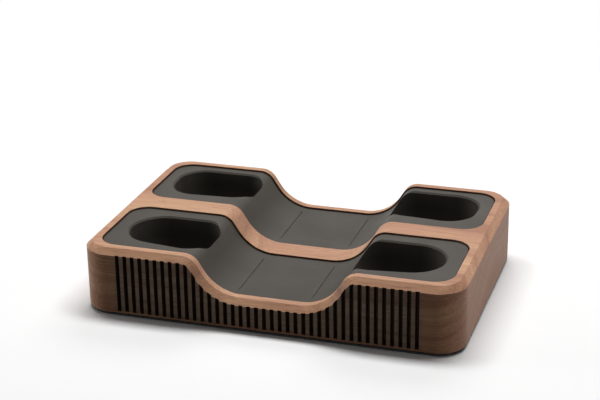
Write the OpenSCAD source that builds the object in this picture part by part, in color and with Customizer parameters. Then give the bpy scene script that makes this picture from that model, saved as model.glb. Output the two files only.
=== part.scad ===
// Desk stand that holds two hand-held game controllers, one behind the other.
// A walnut block with a fluted front carries two soft moulded trays, and a valley
// runs through rims, trays and divider from front to back.
// +X is to the right, +Y to the rear, +Z up. The origin is on the desk, under the middle.

/* [Walnut block] */
// Width of the block
body_w = 182; // [150:1:240]
// Depth of the block from front to back
body_d = 122.5; // [110:0.5:180]
// Height of the walnut, without the pad under it
body_h = 32; // [28:0.5:45]
// Radius of the four upright corners
corner_r = 13.5; // [8:0.5:20]
// Width of the chamfer round the top edge, seen from above
chamfer_w = 3.2; // [1:0.1:4]
// Height of the chamfer round the top edge
chamfer_h = 2.8; // [1:0.1:4]
// Small bevel round the bottom edge
foot_bevel = 0.5; // [0.2:0.1:1]
// Wood left between the side faces and the recesses
rim_side = 6.5; // [5:0.1:12]
// Wood left between the front and rear faces and the recesses
rim_end = 6.8; // [6.5:0.1:12]
// Wood left between the two recesses
divider_w = 13.4; // [6:0.2:24]
// Corner radius of the recesses
recess_r = 9.8; // [5:0.2:16]
// Wood left under the recesses
floor_t = 5; // [4:0.1:8]

/* [Valley] */
// Depth of the valley below the rim
valley_drop = 17.6; // [14:0.1:20]
// Width of the level floor of the valley
valley_floor_w = 28.8; // [16:0.2:50]
// Steepness of the valley's sides in degrees
valley_slope = 57.6; // [45:0.2:65]
// Radius where the rim turns down into the valley
shoulder_r = 8.4; // [7:0.1:10]
// Radius where the valley's side meets its floor
hollow_r = 21; // [8:0.5:24]
// Place of the valley to the right of the middle
valley_x = 1.5; // [-4:0.1:4]

/* [Front flutes] */
// Distance from one flute to the next
flute_pitch = 3.745; // [3:0.005:6]
// Plain wood between the round corners and the outermost flutes
flute_margin = 5.2; // [1:0.1:30]
// Width of a flute
flute_w = 1.9; // [1:0.05:2.4]
// Depth of a flute into the front face
flute_depth = 4; // [1:0.1:4]
// Height of the plain lip under the flutes
flute_lip = 1.3; // [1:0.1:4]
// How far a flute bites into the chamfer above it
flute_bite = 0.25; // [0:0.05:0.5]

/* [Trays] */
// Thickness of the moulded tray
tray_t = 2.4; // [1.6:0.1:3]
// Gap between a tray and the wood round it
tray_gap = 0.4; // [0.2:0.05:0.8]
// Depth of the tray's face below the rim
tray_drop = 0.8; // [0.2:0.1:1.5]
// Height of the skirt under the tray's edge, with the tray's own thickness
skirt_h = 5.6; // [4:0.1:6]
// Thickness of the skirt
skirt_t = 1.8; // [1.2:0.1:3]
// Width of the fine crease where the valley floor begins
crease_w = 0.7; // [0.3:0.1:1.2]
// Distance of each crease from the middle of the valley
crease_x = 17.6; // [8:0.1:22]
// Plain stretch between a crease's ends and the wood
crease_stop = 6; // [2:0.5:12]
// Thickness of the ribs under the valley
rib_t = 1.6; // [1:0.1:2.4]

/* [Grip pockets] */
// Tray left outside the front pockets, up to the wood
front_pocket_side = 7.8; // [6:0.1:14]
// Tray left outside the rear pockets, up to the wood
rear_pocket_side = 6.3; // [6:0.1:14]
// Width of one front pocket at its mouth
front_pocket_w = 42.7; // [36:0.1:44]
// Width of one rear pocket at its mouth
rear_pocket_w = 43.7; // [36:0.1:45]
// Tray left in front of the front pockets
front_pocket_lip = 6.5; // [5:0.05:10]
// Tray left behind the front pockets
front_pocket_back = 7.65; // [5:0.05:12]
// Tray left in front of the rear pockets
rear_pocket_lip = 9.7; // [5:0.05:12]
// Tray left behind the rear pockets
rear_pocket_back = 5.25; // [5:0.05:12]
// How far the round outer end of a front pocket leans to the rear
front_skew = 1.1; // [0:0.1:3]
// How much the corners at the outer end of a rear pocket flatten that end
rear_ease = 3; // [0.5:0.1:5]
// How far the outer end of a rear pocket draws in at its front corner
rear_lean = 0.4; // [0:0.1:2]
// How far the inner end of a rear pocket draws in at its front corner
rear_draw = 1.4; // [0:0.1:3]
// Corner radius at the inner end of the pockets
inner_r = 10.4; // [6:0.1:12]
// Width of the small bevel round a pocket's mouth
lip_w = 0.8; // [0.2:0.1:1.2]
// Size of a pocket's floor as a share of its mouth
pocket_taper = 0.46; // [0.4:0.02:0.8]

/* [Screws and pad] */
// Thickness of the soft pad under the wood
pad_t = 1.5; // [1:0.1:3]
// How far the pad's edge lies inside the wood's
pad_inset = 1.2; // [0.5:0.1:4]
// Distance of the screws from the middle of the valley
screw_x = 20; // [16:0.5:22]
// Distance between a tray's two rows of screws
screw_y = 26; // [20:0.5:30]
// Radius of the screw's shank
screw_r = 1.45; // [1.2:0.05:1.6]
// Length of the screw under its head
screw_l = 8; // [6:0.5:8]
// Radius of the screw's head
head_r = 2.9; // [2.5:0.1:3.2]
// Height of the screw's head
head_h = 2; // [1.6:0.1:2.2]
// Depth of the hole that the head sinks into
head_hole_h = 2.5; // [2.2:0.1:3]
// Radius of the bosses that the screws bite into
boss_r = 3.6; // [3.2:0.1:4.5]

/* [Hidden] */
$fn = 96;
// Small overlap that lets a cut run clear of a face
over = 1;
// Hair's breadth between a straight cut and the arc that carries it on
hair = 0.004;
// How far, in degrees, a hollow arc's cut runs past its ends
arc_reach = 4;
// Running clearance round a screw
screw_gap = 0.05;
// Clearance round a screw's shank in the wood, and round its head
hole_gap = 0.35;
// Clearance between a pad's hole and a head's hole
pad_hole_gap = 0.8;
// Room over a screw's tip
tip_gap = 0.5;
// Sides of the circles that the pockets are blended from
blend_fn = 32;
// How late a pocket's wall turns in, and the shares of its depth at which it is drawn
bowl_power = 2.8;
bowl_levels = [0, 0.35, 0.58, 0.75, 0.86, 0.93, 0.97, 0.99, 1];

// The valley's outline, in the front view
floor_half = valley_floor_w / 2;
floor_z = body_h - valley_drop;
shoulder_x = floor_half
    + ((valley_drop - shoulder_r - hollow_r) * cos(valley_slope) + shoulder_r + hollow_r)
      / sin(valley_slope);
shoulder_c = [shoulder_x, body_h - shoulder_r];
hollow_c = [floor_half, floor_z + hollow_r];
// Direction that points out of the wood on the valley's right side
side_out = [-sin(valley_slope), cos(valley_slope)];
sky = max(body_h, floor_z + hollow_r) + over;

// The two recesses and the trays in them
recess_w = body_w - 2 * rim_side;
recess_d = (body_d - 2 * rim_end - divider_w) / 2;
recess_y = (divider_w + recess_d) / 2;
tray_top = body_h - tray_drop;
rib_h = floor_z - tray_drop - tray_t / 2 - floor_t;
flute_reach = body_w / 2 - corner_r - flute_margin - flute_w / 2;
flute_steps = floor(flute_reach / flute_pitch);

// Mouth of the right-hand pockets as blended circles, each [x, y, radius]
front_reach = recess_w / 2 - front_pocket_side;
rear_reach = recess_w / 2 - rear_pocket_side;
front_pocket_l = recess_d - front_pocket_lip - front_pocket_back;
rear_pocket_l = recess_d - rear_pocket_lip - rear_pocket_back;
front_mid = [front_reach - front_pocket_w / 2, -recess_y + (front_pocket_lip - front_pocket_back) / 2];
rear_mid = [rear_reach - rear_pocket_w / 2, recess_y + (rear_pocket_lip - rear_pocket_back) / 2];
front_outer_r = front_pocket_l / 2 - front_skew;
rear_outer_r = rear_pocket_l / 2 - rear_ease;
front_mouth = [for (c = [[front_pocket_w / 2 - front_outer_r, front_skew, front_outer_r],
                         [inner_r - front_pocket_w / 2, inner_r - front_pocket_l / 2, inner_r],
                         [inner_r - front_pocket_w / 2, front_pocket_l / 2 - inner_r, inner_r]])
               c + concat(front_mid, 0)];
rear_mouth = [for (c = [[rear_pocket_w / 2 - rear_lean - rear_outer_r, rear_outer_r - rear_pocket_l / 2,
                         rear_outer_r],
                        [rear_pocket_w / 2 - rear_outer_r, rear_pocket_l / 2 - rear_outer_r, rear_outer_r],
                        [inner_r - rear_pocket_w / 2, inner_r + rear_draw - rear_pocket_l / 2, inner_r],
                        [inner_r - rear_pocket_w / 2, rear_pocket_l / 2 - inner_r, inner_r]])
              c + concat(rear_mid, 0)];

// Share of the mouth's size that is left at a share t of the pocket's depth: steep at
// first, then turning smoothly into the floor
function pocket_share(t) = pocket_taper + (1 - pocket_taper) * sqrt(1 - pow(t, bowl_power));

// Places of the screws in the plan, front tray first
screw_places = [for (side = [-1, 1], row = [-1, 1], hand = [-1, 1])
                [valley_x + hand * screw_x, side * recess_y + row * screw_y / 2]];

// A rectangle with round corners, centred
module rounded_2d(w, d, r) {
    square([w - 2 * r, d], center = true);
    square([w, d - 2 * r], center = true);
    for (x = [-1, 1], y = [-1, 1])
        translate([x * (w / 2 - r), y * (d / 2 - r)])
            circle(r);
}

// Turns a front-view outline upright and runs it through a depth, centred on y = 0
module through(depth) {
    rotate([90, 0, 0])
        linear_extrude(depth, center = true)
            children();
}

// Everything above the valley's outline, which lies a distance sunk inside the wood's own
module valley_2d(sunk) {
    upper = shoulder_c + (shoulder_r - sunk) * side_out;
    lower = hollow_c - (hollow_r + sunk) * side_out;
    right = [[shoulder_x, sky], [shoulder_x, body_h - sunk], upper, lower,
             [floor_half, floor_z - sunk]];
    left = [for (i = [len(right) - 1 : -1 : 0]) [-right[i][0], right[i][1]]];
    translate([valley_x, 0])
        difference() {
            union() {
                polygon(concat(right, left));
                for (hand = [-1, 1])
                    translate([hand * hollow_c[0], hollow_c[1]])
                        circle(hollow_r + sunk);
            }
            for (hand = [-1, 1])
                translate([hand * shoulder_c[0], shoulder_c[1]])
                    circle(shoulder_r - sunk);
        }
}

// Section of a chamfer's cut: first number along the top face's depth, second inwards
function chamfer_cut(w, h) = [[-over, -over], [h * (1 + over / w), -over], [-over, w * (1 + over / h)]];

// Chamfer cut along +X: the top face is y = 0 and the front face is z = 0
module chamfer_run(length, w, h) {
    rotate([90, 0, 90])
        linear_extrude(length)
            polygon([for (p = chamfer_cut(w, h)) [-p[0], -p[1]]]);
}

// Chamfer cut round an arc in the plane of the face, hollow (1) or bulging (-1)
module chamfer_arc(radius, bulge, from, angle, w, h) {
    rotate([0, 0, from])
        rotate_extrude(angle = angle)
            polygon([for (p = chamfer_cut(w, h)) [radius + bulge * p[0], -p[1]]]);
}

// Chamfer cut along a level edge of the block: both ends of it, one corner and one side
module chamfer_level(w, h) {
    for (turn = [0, 180])
        rotate([0, 0, turn]) {
            translate([-body_w / 2 + corner_r, -body_d / 2, 0])
                rotate([90, 0, 0])
                    chamfer_run(body_w - 2 * corner_r, w, h);
            translate([body_w / 2, -body_d / 2 + corner_r, 0])
                rotate([90, 0, 90])
                    chamfer_run(body_d - 2 * corner_r, w, h);
            for (hand = [0, 1])
                mirror([hand, 0, 0])
                    translate([body_w / 2 - corner_r, -body_d / 2 + corner_r, 0])
                        rotate([0, 0, -90])
                            rotate_extrude(angle = 90)
                                polygon([for (p = chamfer_cut(w, h)) [corner_r - p[1], -p[0]]]);
        }
}

// Chamfer cut that follows the valley's edge in the front face. Straights stop a hair
// short of the arcs' surfaces, so that neighbouring cuts cross and never just touch.
module chamfer_valley() {
    lower = hollow_c - (hollow_r - hair) * side_out;
    upper = shoulder_c + (shoulder_r + hair) * side_out;
    translate([valley_x, -body_d / 2, 0])
        rotate([90, 0, 0]) {
            translate([-floor_half, floor_z + hair, 0])
                chamfer_run(valley_floor_w, chamfer_w, chamfer_h);
            for (hand = [0, 1])
                mirror([hand, 0, 0]) {
                    translate([hollow_c[0], hollow_c[1], 0])
                        chamfer_arc(hollow_r, 1, -90 - arc_reach, valley_slope + 2 * arc_reach,
                                    chamfer_w, chamfer_h);
                    translate([lower[0], lower[1], 0])
                        rotate([0, 0, valley_slope])
                            chamfer_run(norm(upper - lower) + over, chamfer_w, chamfer_h);
                    translate([shoulder_c[0], shoulder_c[1], 0])
                        chamfer_arc(shoulder_r + 2 * hair, -1, 90, valley_slope,
                                    chamfer_w, chamfer_h);
                }
        }
}

// The flutes in the front view, each ending on the chamfer's lower edge
module flutes_2d() {
    difference() {
        for (i = [-flute_steps : flute_steps])
            translate([i * flute_pitch - flute_w / 2, flute_lip])
                square([flute_w, body_h - chamfer_h + flute_bite - flute_lip]);
        valley_2d(chamfer_h - flute_bite);
    }
}

// One milled walnut block with two recesses, the valley, the chamfers and the flutes
module walnut_body() {
    color("#8c6047")
        translate([0, 0, pad_t])
            difference() {
                linear_extrude(body_h)
                    rounded_2d(body_w, body_d, corner_r);
                through(body_d + 2 * over)
                    valley_2d(0);
                for (side = [-1, 1])
                    translate([0, side * recess_y, floor_t])
                        linear_extrude(body_h)
                            rounded_2d(recess_w, recess_d, recess_r);
                translate([0, 0, body_h])
                    chamfer_level(chamfer_w, chamfer_h);
                mirror([0, 0, 1])
                    chamfer_level(foot_bevel, foot_bevel);
                for (side = [0, 1])
                    mirror([0, side, 0])
                        chamfer_valley();
                translate([0, -body_d / 2 + flute_depth / 2 - over / 2, 0])
                    through(flute_depth + over)
                        flutes_2d();
                for (place = screw_places)
                    translate([place[0], place[1], 0]) {
                        translate([0, 0, -over])
                            cylinder(r = screw_r + hole_gap, h = floor_t + 2 * over);
                        translate([0, 0, -over])
                            cylinder(r = head_r + hole_gap, h = head_hole_h + over);
                    }
            }
}

// A bowl blended down from a mouth, on the right-hand side, grown by a wall
module bowl(mouth, middle, wall) {
    bottom = floor_t + tray_t - wall;
    depth = tray_top - bottom;
    hull()
        for (t = bowl_levels, c = mouth)
            translate([middle[0] + (c[0] - middle[0]) * pocket_share(t),
                       middle[1] + (c[1] - middle[1]) * pocket_share(t),
                       tray_top - depth * t - (t == 1 ? 0 : 0.01)])
                cylinder(r = c[2] * pocket_share(t) + wall, h = t == 0 ? over : 0.01,
                         $fn = blend_fn);
}

// The two grip pockets of a tray, grown by a wall
module pocket_pair(mouth, middle, wall) {
    for (hand = [0, 1])
        mirror([hand, 0, 0])
            bowl(mouth, middle, wall);
}

// The small bevel round the mouths of a tray's two pockets
module mouth_bevels(mouth) {
    for (hand = [0, 1])
        mirror([hand, 0, 0])
            hull()
                for (c = mouth)
                    translate([c[0], c[1], tray_top - lip_w])
                        cylinder(r1 = c[2], r2 = c[2] + 2 * lip_w, h = 2 * lip_w, $fn = blend_fn);
}

// A tray's outline in the plan, drawn in by an inset
module tray_outline(inset) {
    rounded_2d(recess_w - 2 * (tray_gap + inset), recess_d - 2 * (tray_gap + inset),
               recess_r - tray_gap - inset);
}

// Everything that lies deeper than a depth under the tray's face
module deeper_than(depth) {
    through(body_d)
        difference() {
            translate([-body_w / 2, -over])
                square([body_w, tray_top - depth + over]);
            valley_2d(tray_drop + depth);
        }
}

// Fine mould lines where the valley's floor begins, one on each side of it
module creases(side) {
    crease_z = hollow_c[1] - sqrt(pow(hollow_r + tray_drop, 2) - pow(crease_x - floor_half, 2));
    edge = crease_w / sqrt(2);
    for (hand = [-1, 1])
        translate([valley_x + hand * crease_x, side * recess_y, crease_z])
            rotate([0, 45, 0])
                cube([edge, recess_d - 2 * crease_stop, edge], center = true);
}

// A moulded tray: skin, skirt, screw bosses, ribs and pockets
module tray(side, mouth, middle) {
    places = [for (place = screw_places) if (place[1] * side > 0) place];
    color("#4a4846")
        translate([0, 0, pad_t])
            difference() {
                union() {
                    difference() {
                        translate([0, side * recess_y, 0])
                            linear_extrude(tray_top)
                                tray_outline(0);
                        deeper_than(tray_t);
                    }
                    difference() {
                        translate([0, side * recess_y, 0])
                            linear_extrude(tray_top)
                                difference() {
                                    tray_outline(0);
                                    tray_outline(skirt_t);
                                }
                        deeper_than(skirt_h);
                    }
                    for (place = places)
                        translate([place[0], place[1], floor_t])
                            cylinder(r = boss_r, h = floor_z - floor_t);
                    for (row = [-1, 1])
                        translate([valley_x, side * recess_y + row * screw_y / 2, floor_t + rib_h / 2])
                            cube([2 * screw_x, rib_t, rib_h], center = true);
                    intersection() {
                        pocket_pair(mouth, middle, tray_t);
                        translate([-body_w / 2, -body_d / 2, 0])
                            cube([body_w, body_d, tray_top]);
                    }
                }
                through(body_d)
                    valley_2d(tray_drop);
                pocket_pair(mouth, middle, 0);
                mouth_bevels(mouth);
                creases(side);
                for (place = places)
                    translate([place[0], place[1], floor_t - over])
                        cylinder(r = screw_r + screw_gap,
                                 h = head_hole_h + screw_l + tip_gap - floor_t + over);
            }
}

module front_tray() { tray(-1, front_mouth, front_mid); }

module rear_tray() { tray(1, rear_mouth, rear_mid); }

// The soft sheet under the wood, with a hole at each screw
module base_pad() {
    color("#1b1a19")
        linear_extrude(pad_t)
            difference() {
                rounded_2d(body_w - 2 * pad_inset, body_d - 2 * pad_inset, corner_r - pad_inset);
                for (place = screw_places)
                    translate(place)
                        circle(head_r + hole_gap + pad_hole_gap);
            }
}

// A pan-head screw that points up, with a cross slot in its head
module tray_screw(place) {
    slot_w = head_r / 4;
    color("#3c3c3e")
        translate([place[0], place[1], pad_t + head_hole_h - head_h])
            difference() {
                union() {
                    cylinder(r1 = head_r * 0.8, r2 = head_r, h = head_h / 3);
                    translate([0, 0, head_h / 3])
                        cylinder(r = head_r, h = head_h * 2 / 3);
                    cylinder(r = screw_r, h = head_h + screw_l - screw_r);
                    translate([0, 0, head_h + screw_l - screw_r])
                        cylinder(r1 = screw_r, r2 = screw_r / 4, h = screw_r);
                }
                for (turn = [0, 90])
                    rotate([0, 0, turn])
                        translate([-head_r / 2, -slot_w / 2, -over])
                            cube([head_r, slot_w, over + head_h / 2]);
            }
}

walnut_body();
front_tray();
rear_tray();
base_pad();
for (i = [0 : len(screw_places) - 1])
    tray_screw(screw_places[i]);
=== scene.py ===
"""Controller stand: a walnut block with a fluted front and two soft-touch trays, dressed for
rendering."""
import math

import bmesh
import bpy
from mathutils import Matrix, Vector


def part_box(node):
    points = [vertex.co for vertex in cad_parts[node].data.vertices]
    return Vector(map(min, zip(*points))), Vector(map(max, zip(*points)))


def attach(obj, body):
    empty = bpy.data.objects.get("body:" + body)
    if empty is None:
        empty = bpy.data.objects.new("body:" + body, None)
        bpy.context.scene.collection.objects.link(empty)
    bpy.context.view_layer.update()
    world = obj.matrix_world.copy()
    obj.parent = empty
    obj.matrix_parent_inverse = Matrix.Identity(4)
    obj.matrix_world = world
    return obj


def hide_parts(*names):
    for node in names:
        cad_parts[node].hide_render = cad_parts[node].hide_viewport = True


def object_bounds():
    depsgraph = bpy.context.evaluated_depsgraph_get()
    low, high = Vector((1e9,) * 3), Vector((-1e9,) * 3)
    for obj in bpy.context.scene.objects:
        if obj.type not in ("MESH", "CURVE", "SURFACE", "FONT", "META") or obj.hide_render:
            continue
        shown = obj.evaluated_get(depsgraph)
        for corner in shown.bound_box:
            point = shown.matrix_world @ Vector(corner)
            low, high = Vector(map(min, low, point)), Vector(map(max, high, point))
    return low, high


MM = 0.001

# The frame, and its box before anything is dressed
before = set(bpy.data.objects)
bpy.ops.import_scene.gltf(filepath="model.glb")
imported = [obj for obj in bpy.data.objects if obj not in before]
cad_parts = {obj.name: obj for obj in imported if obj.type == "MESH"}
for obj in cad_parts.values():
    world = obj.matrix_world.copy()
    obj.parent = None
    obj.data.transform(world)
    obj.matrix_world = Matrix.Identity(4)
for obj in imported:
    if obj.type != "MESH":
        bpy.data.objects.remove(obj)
cad_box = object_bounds()
low, high = (Vector(corner) for corner in cad_box)

# Camera, as fitted to the photograph's edges
IMAGE_W = 600
FOCAL_PX = 1587.8
SENSOR_MM = 36.0
AZIMUTH = math.radians(17.82)
ELEVATION = math.radians(21.99)
ROLL = math.radians(-0.87)
DISTANCE = 760.5 * MM
TARGET = Vector((-1.4, -0.7, 42.7)) * MM
NEAREST_SEEN = 10 * MM
FARTHEST_SEEN = 20

# Soft studio lamps, all turned to the middle of the stand: name, place, width, depth and watts.
# A wide one hangs overhead, a little behind, and weak ones stand behind and at the sides
LAMP_AIM = Vector((0, 0, 20)) * MM
LAMPS = (
    ("key_lamp", (0, 0.21, 1.15), 1.1, 0.3, 13),
    ("back_lamp", (0, 0.8, 0.8), 0.8, 0.5, 3),
    ("right_lamp", (1.2, -0.18, 0.17), 0.5, 0.3, 2.1),
    ("left_lamp", (-1.2, -0.12, 0.17), 0.5, 0.3, 4.4),
)
WORLD_LIGHT = 0.04

# The floor's side, and how far from the middle it starts to fade into the background and how far
# it is all background
FLOOR_SIDE = 8
FADE = (160 * MM, 400 * MM)

# Finishes, in sRGB
WHITE = "#ffffff"
WALNUT_PALE = "#d6ac88"
WALNUT_MID = "#c19173"
WALNUT_DEEP = "#9c6b54"
WALNUT_PORE = "#6b442e"
FIBRE_SHADE = "#b5b0aa"
END_TONE = "#bd9079"
LAND_TONE = "#ceecff"
# Painted shade: the near black of the flutes and of the recesses' walls
FLUTE_PAINTED_SHADE = "#140b07"
TRAY_GREY = "#3f3b35"
PAD_BLACK = "#171615"
ZINC = "#b4b4b0"
ZINC_CLOUD = "#93938f"
FLOOR_WHITE = "#fbfbfb"
FLOOR_LIT = "#484440"

# Growth rings of the walnut: their centre in Y and Z, their width, the length over which they
# change along the grain, and how far they wander
RING_CENTRE = (0.035, -0.16)
RING_WIDTH = 5.5 * MM
RING_LENGTH = 260 * MM
RING_SWAY = 14 * MM

# Size of each pattern in mm, along X, Y and Z
SWAY_SIZE = (160, 45, 45)
FIBRE_SIZE = (26, 0.9, 0.9)
PORE_SIZE = (7, 0.5, 0.5)
COAT_CLOUD_SIZE = (18, 18, 18)
COAT_PEEL_SIZE = (0.5, 0.5, 0.5)
FOAM_CELL_SIZE = (0.6, 0.6, 0.6)
ZINC_CLOUD_SIZE = (2.5, 2.5, 2.5)

# How much of each finish and of the painted shade lies over the wood
END_SHARE = 0.7
FIBRE_SHARE = 0.5
PORE_SHARE = 0.45
WALL_SHADE_SHARE = 0.8
PAINTED_SHADE_SHARE = 0.94

# Where the wood's finishes and its painted shade change. The first number of a pair is where one
# starts, and the second is where it is full. Depths are counted from the front, and insets from the
# block's sides
FLUTE_DEPTHS = (0.02 * MM, 0.15 * MM)
FLUTE_BACK = (5.0 * MM, 4.6 * MM)
FLUTE_SIDES = (75 * MM, 74 * MM)
LIP_HEIGHT = (10 * MM, 8 * MM)
LAND_DEPTH = (0.05 * MM, 0.02 * MM)
LAND_SIDES = (75 * MM, 70 * MM)
LAND_FOOT = (2.8 * MM, 3.0 * MM)
WALL_INSETS = (-5.0 * MM, -5.5 * MM)

# The same for the way that a face looks: to the front, to an end, not upwards, and to any side
FRONTWARD = (-0.9, -0.98)
ENDWISE = (0.5, 0.95)
NOT_UPWARD = (0.4, 0.2)
SIDEWAYS = (0.5, 0.3)

# Rounding of sharp edges. The wood's are rounded above the rims' foot, and within the rims' width
# of the outside only where both faces look upwards. A tray's are rounded near its outside, where
# a face looks upwards
WOOD_ROUND = 0.3 * MM
TRAY_ROUND = 0.35 * MM
RECESS_FLOOR = 6.5 * MM
RIM_FOOT = RECESS_FLOOR + 1 * MM
RIM_WIDTH = 5 * MM
TRAY_EDGE = 2.9 * MM
UPWARD = 0.3
SHARP_ANGLE = math.radians(35)
SMOOTH_ANGLE = math.radians(32)
FLAT_ANGLE = math.radians(0.05)
MERGE_GAP = 0.03 * MM

# The two colours that a Mix node takes and the one that it gives, as the numbers of its sockets
MIX_A, MIX_B, MIXED = 6, 7, 2


def linear(code):
    """The linear colour of an sRGB hex value."""
    channels = [int(code[i:i + 2], 16) / 255 for i in (1, 3, 5)]
    return tuple(c / 12.92 if c <= 0.04045 else ((c + 0.055) / 1.055) ** 2.4
                 for c in channels) + (1.0,)


def add_node(tree, kind, settings=None, inputs=None, stops=()):
    """Adds a shader node with its settings, its links or values by input, and a ramp's stops.

    An input fed by a node takes that node's first output."""
    node = tree.nodes.new(kind)
    for name, value in (settings or {}).items():
        setattr(node, name, value)
    for key, value in (inputs or {}).items():
        if isinstance(value, bpy.types.Node):
            value = value.outputs[0]
        if isinstance(value, bpy.types.NodeSocket):
            tree.links.new(value, node.inputs[key])
        else:
            node.inputs[key].default_value = value
    for i, (position, code) in enumerate(stops):
        elements = node.color_ramp.elements
        element = elements[i] if i < len(elements) else elements.new(position)
        element.position = position
        element.color = linear(code)
    return node


def new_material(name, roughness, ior=1.5, metallic=0.0, gloss=0.5):
    """A new material, its node tree and its Principled shader."""
    material = bpy.data.materials.new(name)
    material.use_nodes = True
    shader = material.node_tree.nodes["Principled BSDF"]
    shader.inputs["Roughness"].default_value = roughness
    shader.inputs["IOR"].default_value = ior
    shader.inputs["Metallic"].default_value = metallic
    shader.inputs["Specular IOR Level"].default_value = gloss
    return material, material.node_tree, shader


def place_in(tree, size):
    """The place on the piece, with a pattern's size in mm along X, Y and Z as the unit."""
    place = add_node(tree, "ShaderNodeTexCoord").outputs["Object"]
    factors = tuple(1 / (MM * length) for length in size)
    return add_node(tree, "ShaderNodeMapping", inputs={"Vector": place, "Scale": factors})


def region(tree, *limits):
    """1 where every value has passed its second limit, and 0 where one is short of its first."""
    mask = 1.0
    for value, start, end in limits:
        share = add_node(tree, "ShaderNodeMapRange", inputs={
            "Value": value, "From Min": start, "From Max": end})
        mask = add_node(tree, "ShaderNodeMath", {"operation": "MULTIPLY"}, {0: mask, 1: share})
    return mask


def past(base, limits):
    """Limits that are counted from a base."""
    return tuple(base + limit for limit in limits)


def growth_rings(tree, x, y, z):
    """Bands that follow the growth rings, which lie round a line along X below the block."""
    sway = add_node(tree, "ShaderNodeTexNoise", inputs={
        "Vector": place_in(tree, SWAY_SIZE), "Scale": 1.0, "Detail": 2.0})
    across = add_node(tree, "ShaderNodeMath", {"operation": "SUBTRACT"}, {0: y, 1: RING_CENTRE[0]})
    across = add_node(tree, "ShaderNodeMath", {"operation": "POWER"}, {0: across, 1: 2.0})
    up = add_node(tree, "ShaderNodeMath", {"operation": "SUBTRACT"}, {0: z, 1: RING_CENTRE[1]})
    up = add_node(tree, "ShaderNodeMath", {"operation": "POWER"}, {0: up, 1: 2.0})
    radius = add_node(tree, "ShaderNodeMath", {"operation": "ADD"}, {0: across, 1: up})
    radius = add_node(tree, "ShaderNodeMath", {"operation": "SQRT"}, {0: radius})
    wander = add_node(tree, "ShaderNodeMath", {"operation": "MULTIPLY"}, {0: sway, 1: RING_SWAY})
    ring = add_node(tree, "ShaderNodeMath", {"operation": "ADD"}, {0: radius, 1: wander})
    ring = add_node(tree, "ShaderNodeMath", {"operation": "DIVIDE"}, {0: ring, 1: RING_WIDTH})
    along = add_node(tree, "ShaderNodeMath", {"operation": "DIVIDE"}, {0: x, 1: RING_LENGTH})
    rings = add_node(tree, "ShaderNodeCombineXYZ", inputs={"X": along, "Y": ring})
    return add_node(tree, "ShaderNodeTexNoise", inputs={
        "Vector": rings, "Scale": 1.0, "Detail": 4.0, "Roughness": 0.6})


def painted_wall_shade(tree, y, z, side_x, side_y, facing):
    """Painted shade: how dark the flutes and the walls of the recesses are painted.

    They look near black. The darkening is painted shade, which these lamps don't give. That
    may be nothing but shade, which these lamps don't give, so the dark finish is a guess."""
    # The chamfer lies as deep as the flutes, but it looks upwards and stays plain. The lip under
    # the flutes looks upwards too, far lower, and gets the painted shade
    inner = add_node(tree, "ShaderNodeMath", {"operation": "MAXIMUM"}, {
        0: region(tree, (facing[2], *NOT_UPWARD)), 1: region(tree, (z, *LIP_HEIGHT))})
    flutes = region(tree, (y, *past(low.y, FLUTE_DEPTHS)), (y, *past(low.y, FLUTE_BACK)),
                    (side_x, *FLUTE_SIDES))
    flutes = add_node(tree, "ShaderNodeMath", {"operation": "MULTIPLY"}, {0: flutes, 1: inner})
    level = add_node(tree, "ShaderNodeMath", {"operation": "ABSOLUTE"}, {0: facing[2]})
    walls = region(tree, (level, *SIDEWAYS), (side_x, *past(high.x, WALL_INSETS)),
                   (side_y, *past(high.y, WALL_INSETS)))
    walls = add_node(tree, "ShaderNodeMath", {"operation": "MULTIPLY"}, {0: walls, 1: WALL_SHADE_SHARE})
    dark = add_node(tree, "ShaderNodeMath", {"operation": "MAXIMUM"}, {0: flutes, 1: walls})
    return add_node(tree, "ShaderNodeMath", {"operation": "MULTIPLY"}, {0: dark, 1: PAINTED_SHADE_SHARE})


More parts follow.
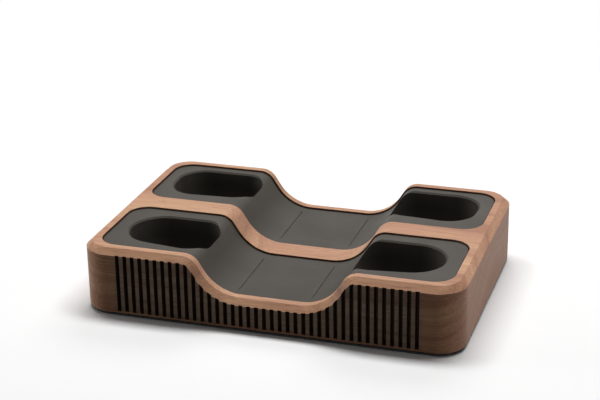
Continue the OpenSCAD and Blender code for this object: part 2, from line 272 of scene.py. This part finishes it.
def walnut(name):
    """Oiled walnut, sawn so that the growth rings run under the top like a shallow arch.

    The grain runs along X, so the front and top show long streaks and the ends show arcs.
    The oil film is thin and open, so the gloss stays low."""
    material, tree, shader = new_material(name, roughness=0.5, ior=1.45, gloss=0.2)
    place = add_node(tree, "ShaderNodeTexCoord").outputs
    x, y, z = add_node(tree, "ShaderNodeSeparateXYZ", inputs={"Vector": place["Object"]}).outputs
    facing = add_node(tree, "ShaderNodeSeparateXYZ", inputs={"Vector": place["Normal"]}).outputs
    side_x = add_node(tree, "ShaderNodeMath", {"operation": "ABSOLUTE"}, {0: x})
    side_y = add_node(tree, "ShaderNodeMath", {"operation": "ABSOLUTE"}, {0: y})
    tone = add_node(tree, "ShaderNodeValToRGB", inputs={"Fac": growth_rings(tree, x, y, z)},
                    stops=((0.28, WALNUT_DEEP), (0.48, WALNUT_MID), (0.70, WALNUT_PALE)))

    # The ends look calmer than the long faces, and their rings stand out less
    endwise = add_node(tree, "ShaderNodeMath", {"operation": "ABSOLUTE"}, {0: facing[0]})
    end = add_node(tree, "ShaderNodeMath", {"operation": "MULTIPLY"}, {
        0: region(tree, (endwise, *ENDWISE)), 1: END_SHARE})
    tone = add_node(tree, "ShaderNodeMix", {"data_type": "RGBA"}, {
        "Factor": end, MIX_A: tone, MIX_B: linear(END_TONE)}).outputs[MIXED]

    # Fibres are about 0.03 mm thick and pores about 0.2 mm wide. Too fine to show at that size,
    # they are drawn 0.9 mm and 0.5 mm wide
    fibres = add_node(tree, "ShaderNodeTexNoise", inputs={
        "Vector": place_in(tree, FIBRE_SIZE), "Scale": 1.0, "Detail": 3.0, "Roughness": 0.65})
    fibre_tone = add_node(tree, "ShaderNodeValToRGB", inputs={"Fac": fibres},
                          stops=((0.3, FIBRE_SHADE), (0.7, WHITE)))
    grained = add_node(tree, "ShaderNodeMix", {"data_type": "RGBA", "blend_type": "MULTIPLY"}, {
        "Factor": FIBRE_SHARE, MIX_A: tone, MIX_B: fibre_tone}).outputs[MIXED]
    pores = add_node(tree, "ShaderNodeTexNoise", inputs={
        "Vector": place_in(tree, PORE_SIZE), "Scale": 1.0, "Detail": 1.0})
    porous = add_node(tree, "ShaderNodeMath", {"operation": "MULTIPLY"}, {
        0: region(tree, (pores, 0.60, 0.72)), 1: PORE_SHARE})
    pored = add_node(tree, "ShaderNodeMix", {"data_type": "RGBA"}, {
        "Factor": porous, MIX_A: grained, MIX_B: linear(WALNUT_PORE)}).outputs[MIXED]

    # The lands between the flutes look a little greyer than the plain wood beside them
    lands = region(tree, (facing[1], *FRONTWARD), (y, *past(low.y, LAND_DEPTH)),
                   (side_x, *LAND_SIDES), (z, *LAND_FOOT))
    greyed = add_node(tree, "ShaderNodeMix", {"data_type": "RGBA", "blend_type": "MULTIPLY"}, {
        "Factor": 1.0, MIX_A: pored, MIX_B: linear(LAND_TONE)}).outputs[MIXED]
    toned = add_node(tree, "ShaderNodeMix", {"data_type": "RGBA"}, {
        "Factor": lands, MIX_A: pored, MIX_B: greyed}).outputs[MIXED]
    # Painted shade turns the flutes and the walls of the recesses near black
    dark = painted_wall_shade(tree, y, z, side_x, side_y, facing)
    colour = add_node(tree, "ShaderNodeMix", {"data_type": "RGBA"}, {
        "Factor": dark, MIX_A: toned, MIX_B: linear(FLUTE_PAINTED_SHADE)}).outputs[MIXED]
    tree.links.new(colour, shader.inputs["Base Color"])

    solid = add_node(tree, "ShaderNodeMath", {"operation": "SUBTRACT"}, {0: 1.0, 1: pores})
    relief = add_node(tree, "ShaderNodeBump", inputs={
        "Height": solid, "Strength": 0.15, "Distance": 0.1 * MM})
    tree.links.new(relief.outputs["Normal"], shader.inputs["Normal"])
    return material


def soft_touch(name, code):
    """Moulded ABS under a soft-touch coat: very fine orange peel that spreads the highlights."""
    material, tree, shader = new_material(name, roughness=0.6, ior=1.46, gloss=0.2)
    shader.inputs["Base Color"].default_value = linear(code)
    cloud = add_node(tree, "ShaderNodeTexNoise", inputs={
        "Vector": place_in(tree, COAT_CLOUD_SIZE), "Scale": 1.0, "Detail": 3.0})
    spread = add_node(tree, "ShaderNodeMapRange", inputs={
        "Value": cloud, "From Min": 0.3, "From Max": 0.7, "To Min": 0.5, "To Max": 0.62})
    tree.links.new(spread.outputs["Result"], shader.inputs["Roughness"])
    # The coat's peel is a few hundredths of a millimetre across. Too fine to show at that size,
    # it is drawn 0.5 mm across
    peel = add_node(tree, "ShaderNodeTexNoise", inputs={
        "Vector": place_in(tree, COAT_PEEL_SIZE), "Scale": 1.0, "Detail": 2.0})
    relief = add_node(tree, "ShaderNodeBump", inputs={
        "Height": peel, "Strength": 0.1, "Distance": 0.05 * MM})
    tree.links.new(relief.outputs["Normal"], shader.inputs["Normal"])
    return material


def foam_rubber(name, code):
    """Closed-cell foam rubber, cut from a sheet: dull black with a fine grain of cut cells."""
    material, tree, shader = new_material(name, roughness=0.85)
    shader.inputs["Base Color"].default_value = linear(code)
    # Its cells are about 0.2 mm across. Too fine to show at that size, they are drawn at 0.6 mm
    cells = add_node(tree, "ShaderNodeTexVoronoi", inputs={
        "Vector": place_in(tree, FOAM_CELL_SIZE), "Scale": 1.0})
    relief = add_node(tree, "ShaderNodeBump", inputs={
        "Height": cells, "Strength": 0.25, "Distance": 0.1 * MM})
    tree.links.new(relief.outputs["Normal"], shader.inputs["Normal"])
    return material


def zinc_plate(name, code):
    """Zinc-plated steel from a barrel bath: cold grey, cloudy where the plate is thicker."""
    material, tree, shader = new_material(name, roughness=0.35, metallic=1.0)
    cloud = add_node(tree, "ShaderNodeTexNoise", inputs={
        "Vector": place_in(tree, ZINC_CLOUD_SIZE), "Scale": 1.0, "Detail": 3.0})
    clouded = add_node(tree, "ShaderNodeValToRGB", inputs={"Fac": cloud},
                       stops=((0.35, ZINC_CLOUD), (0.62, code)))
    tree.links.new(clouded.outputs["Color"], shader.inputs["Base Color"])
    spread = add_node(tree, "ShaderNodeMapRange", inputs={
        "Value": cloud, "From Min": 0.3, "From Max": 0.7, "To Min": 0.45, "To Max": 0.28})
    tree.links.new(spread.outputs["Result"], shader.inputs["Roughness"])
    return material


def seen_rays(tree):
    """1 for the rays that show the background: to the camera, mirrored, or through glass."""
    path = add_node(tree, "ShaderNodeLightPath").outputs
    mirrored = add_node(tree, "ShaderNodeMath", {"operation": "MAXIMUM"}, {
        0: path["Is Glossy Ray"], 1: path["Is Transmission Ray"]})
    return add_node(tree, "ShaderNodeMath", {"operation": "MAXIMUM"}, {
        0: path["Is Camera Ray"], 1: mirrored})


def camera_axes():
    """The camera's right, up and back directions."""
    back = Vector((math.sin(AZIMUTH) * math.cos(ELEVATION),
                   -math.cos(AZIMUTH) * math.cos(ELEVATION),
                   math.sin(ELEVATION)))
    right = Vector((math.cos(AZIMUTH), math.sin(AZIMUTH), 0))
    up = back.cross(right)
    cos_roll, sin_roll = math.cos(ROLL), math.sin(ROLL)
    return cos_roll * right + sin_roll * up, cos_roll * up - sin_roll * right, back


def make_camera():
    """The camera at the photograph's viewing angle."""
    right, up, back = camera_axes()
    data = bpy.data.cameras.new("camera")
    data.sensor_fit = "HORIZONTAL"
    data.sensor_width = SENSOR_MM
    data.lens = FOCAL_PX / IMAGE_W * SENSOR_MM
    data.clip_start = NEAREST_SEEN
    data.clip_end = FARTHEST_SEEN
    camera = bpy.data.objects.new("camera", data)
    bpy.context.scene.collection.objects.link(camera)
    turn = Matrix((right, up, back)).transposed()
    camera.matrix_world = Matrix.Translation(TARGET + back * DISTANCE) @ turn.to_4x4()
    bpy.context.scene.camera = camera


def soft_box(name, place, width, depth, watts):
    """A rectangular lamp at a place, turned to the middle of the stand."""
    data = bpy.data.lights.new(name, "AREA")
    data.shape = "RECTANGLE"
    data.size = width
    data.size_y = depth
    data.energy = watts
    light = bpy.data.objects.new(name, data)
    bpy.context.scene.collection.objects.link(light)
    turn = (Vector(place) - LAMP_AIM).to_track_quat("Z", "Y").to_matrix().to_4x4()
    light.matrix_world = Matrix.Translation(place) @ turn


def make_lights():
    """The lamps, and a world that is white where it is seen and lights the stand only faintly."""
    for lamp in LAMPS:
        soft_box(*lamp)
    world = bpy.data.worlds.new("studio")
    world.use_nodes = True
    tree = world.node_tree
    strength = add_node(tree, "ShaderNodeMapRange", inputs={
        "Value": seen_rays(tree), "To Min": WORLD_LIGHT, "To Max": 1.0})
    background = tree.nodes["Background"]
    background.inputs["Color"].default_value = linear(WHITE)
    tree.links.new(strength.outputs["Result"], background.inputs["Strength"])
    bpy.context.scene.world = world


def make_floor():
    """A plain floor with the stand's shadow on it, near white where it is seen.

    To the rays that light the stand it is dark grey, so that little light comes back up from it."""
    bpy.ops.mesh.primitive_plane_add(size=FLOOR_SIDE, location=(0, 0, low.z))
    floor = bpy.context.object
    floor.name = "floor"
    material, tree, shader = new_material("matte_floor", roughness=0.9, gloss=0.0)
    seen = seen_rays(tree)
    shown = add_node(tree, "ShaderNodeMix", {"data_type": "RGBA"}, {
        "Factor": seen, MIX_A: linear(FLOOR_LIT), MIX_B: linear(FLOOR_WHITE)}).outputs[MIXED]
    tree.links.new(shown, shader.inputs["Base Color"])
    # Far from the stand the floor turns into the white background
    place = add_node(tree, "ShaderNodeTexCoord").outputs["Object"]
    distance = add_node(tree, "ShaderNodeVectorMath", {"operation": "LENGTH"}, {"Vector": place})
    far = add_node(tree, "ShaderNodeMath", {"operation": "MULTIPLY"}, {
        0: seen, 1: region(tree, (distance.outputs["Value"], *FADE))})
    glow = add_node(tree, "ShaderNodeEmission", inputs={"Color": linear(WHITE), "Strength": 1.0})
    blend = add_node(tree, "ShaderNodeMixShader", inputs={
        "Fac": far, 1: shader.outputs["BSDF"], 2: glow})
    tree.links.new(blend.outputs["Shader"], tree.nodes["Material Output"].inputs["Surface"])
    floor.data.materials.append(material)


def dress(name, material):
    """Gives a node of the frame its finish."""
    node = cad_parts[name]
    node.data.materials.clear()
    node.data.materials.append(material)


def inset(edge, piece_low, piece_high):
    """How far inside the nearest side of its piece the middle of an edge lies."""
    middle = (edge.verts[0].co + edge.verts[1].co) / 2
    return min(piece_high.x - middle.x, middle.x - piece_low.x,
               piece_high.y - middle.y, middle.y - piece_low.y)


def wooden_rim(edge, piece_low, piece_high):
    """Whether a sharp edge of the wood is a rim of a recess or the upper edge of the chamfer."""
    outside = inset(edge, piece_low, piece_high) < RIM_WIDTH
    if outside and min(face.normal.z for face in edge.link_faces) < UPWARD:
        return False
    return min(corner.co.z for corner in edge.verts) > RIM_FOOT


def tray_rim(edge, piece_low, piece_high):
    """Whether a sharp edge of a tray is its outer top edge."""
    upward = max(face.normal.z for face in edge.link_faces) > UPWARD
    return upward and inset(edge, piece_low, piece_high) < TRAY_EDGE


def rounded(name, material, width, wanted, box):
    """A merged copy of a node with the wanted sharp edges rounded, shown in the node's place."""
    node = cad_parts[name]
    piece = node.copy()
    piece.data = node.data.copy()
    piece.name = name + "_rounded"
    bpy.context.scene.collection.objects.link(piece)
    piece.parent = None
    piece.matrix_world = Matrix.Identity(4)
    piece.data.materials.clear()
    piece.data.materials.append(material)
    bpy.ops.object.select_all(action="DESELECT")
    piece.select_set(True)
    bpy.context.view_layer.objects.active = piece
    bpy.ops.object.mode_set(mode="EDIT")
    bpy.ops.mesh.select_mode(type="EDGE")
    bpy.ops.mesh.select_all(action="SELECT")
    bpy.ops.mesh.remove_doubles(threshold=MERGE_GAP)
    bpy.ops.mesh.dissolve_limited(angle_limit=FLAT_ANGLE)
    bpy.ops.mesh.select_all(action="DESELECT")
    piece_low, piece_high = (Vector(corner) for corner in box)
    shape = bmesh.from_edit_mesh(piece.data)
    for edge in shape.edges:
        sharp = len(edge.link_faces) == 2 and edge.calc_face_angle(0) > SHARP_ANGLE
        if sharp and wanted(edge, piece_low, piece_high):
            edge.select = True
    bmesh.update_edit_mesh(piece.data)
    bpy.ops.mesh.bevel(offset=width, segments=2, affect="EDGES", clamp_overlap=False)
    bpy.ops.object.mode_set(mode="OBJECT")
    bpy.ops.mesh.customdata_custom_splitnormals_clear()
    bpy.ops.object.shade_smooth_by_angle(angle=SMOOTH_ANGLE)
    flatten = piece.modifiers.new("flatten", "WEIGHTED_NORMAL")
    flatten.keep_sharp = True
    bpy.ops.object.modifier_apply(modifier="flatten")
    piece.select_set(False)
    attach(piece, "root")
    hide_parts(name)


bpy.ops.object.select_all(action="DESELECT")
make_camera()
make_lights()
make_floor()
bpy.context.scene.view_settings.view_transform = "Standard"

walnut_oiled = walnut("walnut_oiled")
tray_plastic = soft_touch("tray_soft_touch_abs", TRAY_GREY)
pad_rubber = foam_rubber("pad_foam_rubber", PAD_BLACK)
screw_steel = zinc_plate("screw_zinc_plated_steel", ZINC)

rounded("walnut_body", walnut_oiled, WOOD_ROUND, wooden_rim, cad_box)
for tray in ("front_tray", "rear_tray"):
    rounded(tray, tray_plastic, TRAY_ROUND, tray_rim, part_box(tray))
dress("base_pad", pad_rubber)
for i in range(1, 9):
    dress(f"tray_screw_{i}", screw_steel)
